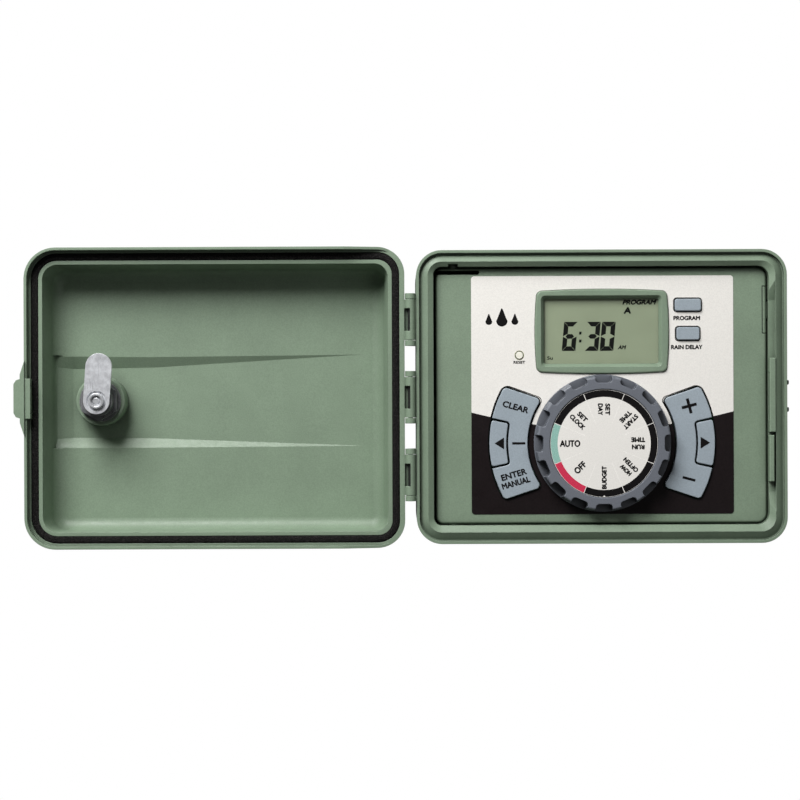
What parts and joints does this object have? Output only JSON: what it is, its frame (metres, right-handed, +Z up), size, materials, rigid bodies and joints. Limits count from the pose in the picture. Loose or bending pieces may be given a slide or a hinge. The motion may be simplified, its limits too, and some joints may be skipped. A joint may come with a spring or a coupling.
{
  "type": "irrigation controller",
  "caption": "Wall-mounted irrigation controller: gasketed hinged lid with cam lock, swing-out panel with clock display, scalloped selector dial and curved keys.",
  "frame": {"origin": "centre of the housing's flat back face, which lies on the wall", "axes": "+Z up, +X to the right seen from the front, +Y into the wall; the front faces -Y"},
  "size_m": [0.4838, 0.092, 0.188],
  "materials": {
    "green_plastic": "fine moulded grain",
    "black_plastic": "satin",
    "steel": "zinc plated",
    "zinc": "bright zinc plate",
    "foam": "open rough foam",
    "printed_sheet": "printed polycarbonate sheet",
    "clear_lens": "clear",
    "lcd": "reflective display",
    "conductive_rubber": "layered",
    "circuit_board": "solder mask",
    "ribbon_grey": "ribbed flat cable",
    "dial_plastic": "fine moulded grain",
    "dial_print": "printed label",
    "white_plastic": "moulded",
    "contact_metal": "sprung contact",
    "key_plastic": "fine moulded grain",
    "cream_plastic": "moulded",
    "lamination_steel": "varnished laminations",
    "coil_tape": "wound tape",
    "terminal_green": "moulded"
  },
  "bodies": {
    "housing": {"rear_housing": "green_plastic", "latch_studs": "black_plastic", "hinge_pins": "steel", "transformer_core": "lamination_steel", "transformer_coil": "coil_tape", "transformer_screws": "steel", "terminal_board": "circuit_board", "terminal_board_screws": "steel", "terminal_block": "terminal_green", "terminal_screws": "steel", "terminal_header": "black_plastic", "ribbon_cable": "ribbon_grey"},
    "lid": {"lid_shell": "green_plastic", "lid_gasket": "foam", "lock_barrel": "zinc", "lock_nut": "zinc", "lock_washer": "zinc"},
    "lock": {"lock_plug": "zinc", "lock_cam": "zinc", "cam_nut": "zinc"},
    "swing_panel": {"panel_front": "green_plastic", "faceplate_overlay": "printed_sheet", "display_lens": "clear_lens", "lcd_glass": "lcd", "lcd_holder": "black_plastic", "zebra_strips": "conductive_rubber", "main_board": "circuit_board", "tact_switches": "black_plastic", "board_screws": "steel", "panel_back_cover": "green_plastic", "back_cover_screws": "steel", "battery_clip": "black_plastic", "coin_cell": "steel", "battery_door": "green_plastic", "ribbon_socket": "black_plastic", "detent_spring": "contact_metal"},
    "dial": {"dial_knob": "dial_plastic", "dial_label": "dial_print", "dial_rotor": "white_plastic", "contact_wiper": "contact_metal"},
    "left_rocker": {"left_rocker": "key_plastic"},
    "right_rocker": {"right_rocker": "key_plastic"},
    "left_arrow_key": {"left_arrow_key": "key_plastic"},
    "right_arrow_key": {"right_arrow_key": "key_plastic"},
    "program_button": {"program_button": "key_plastic"},
    "rain_delay_button": {"rain_delay_button": "key_plastic"},
    "reset_button": {"reset_button": "cream_plastic"}
  },
  "joints": [
    {"name": "lid_swing", "type": "hinge", "parent": "housing", "child": "lid", "pos_m": [-0.1197, -0.084, 0], "axis": [0, 0, -1], "range_deg": [-180, 0]},
    {"name": "lock_turn", "type": "hinge", "parent": "lid", "child": "lock", "pos_m": [-0.3155, -0.084, -0.0016], "axis": [0, 1, 0], "range_deg": [-94, 0]},
    {"name": "panel_swing", "type": "hinge", "parent": "housing", "child": "swing_panel", "pos_m": [-0.0927, -0.073, 0], "axis": [0, 0, -1], "range_deg": [0, 100], "deforming": ["ribbon_cable"]},
    {"name": "dial_turn", "type": "hinge", "parent": "swing_panel", "child": "dial", "pos_m": [0.0007, -0.084, -0.0292], "axis": [0, 1, 0], "continuous": true},
    {"name": "left_rocker_tilt", "type": "hinge", "parent": "swing_panel", "child": "left_rocker", "pos_m": [-0.0593, -0.0714, -0.0292], "axis": [1, 0, 0], "range_deg": [-1.5, 1.5]},
    {"name": "right_rocker_tilt", "type": "hinge", "parent": "swing_panel", "child": "right_rocker", "pos_m": [0.0607, -0.0714, -0.0292], "axis": [1, 0, 0], "range_deg": [-1.5, 1.5]},
    {"name": "left_arrow_press", "type": "slide", "parent": "swing_panel", "child": "left_arrow_key", "axis": [0, 1, 0], "range_m": [0, 0.001]},
    {"name": "right_arrow_press", "type": "slide", "parent": "swing_panel", "child": "right_arrow_key", "axis": [0, 1, 0], "range_m": [0, 0.001]},
    {"name": "program_press", "type": "slide", "parent": "swing_panel", "child": "program_button", "axis": [0, 1, 0], "range_m": [0, 0.001]},
    {"name": "rain_delay_press", "type": "slide", "parent": "swing_panel", "child": "rain_delay_button", "axis": [0, 1, 0], "range_m": [0, 0.001]},
    {"name": "reset_press", "type": "slide", "parent": "swing_panel", "child": "reset_button", "axis": [0, 1, 0], "range_m": [0, 0.0005]}
  ]
}
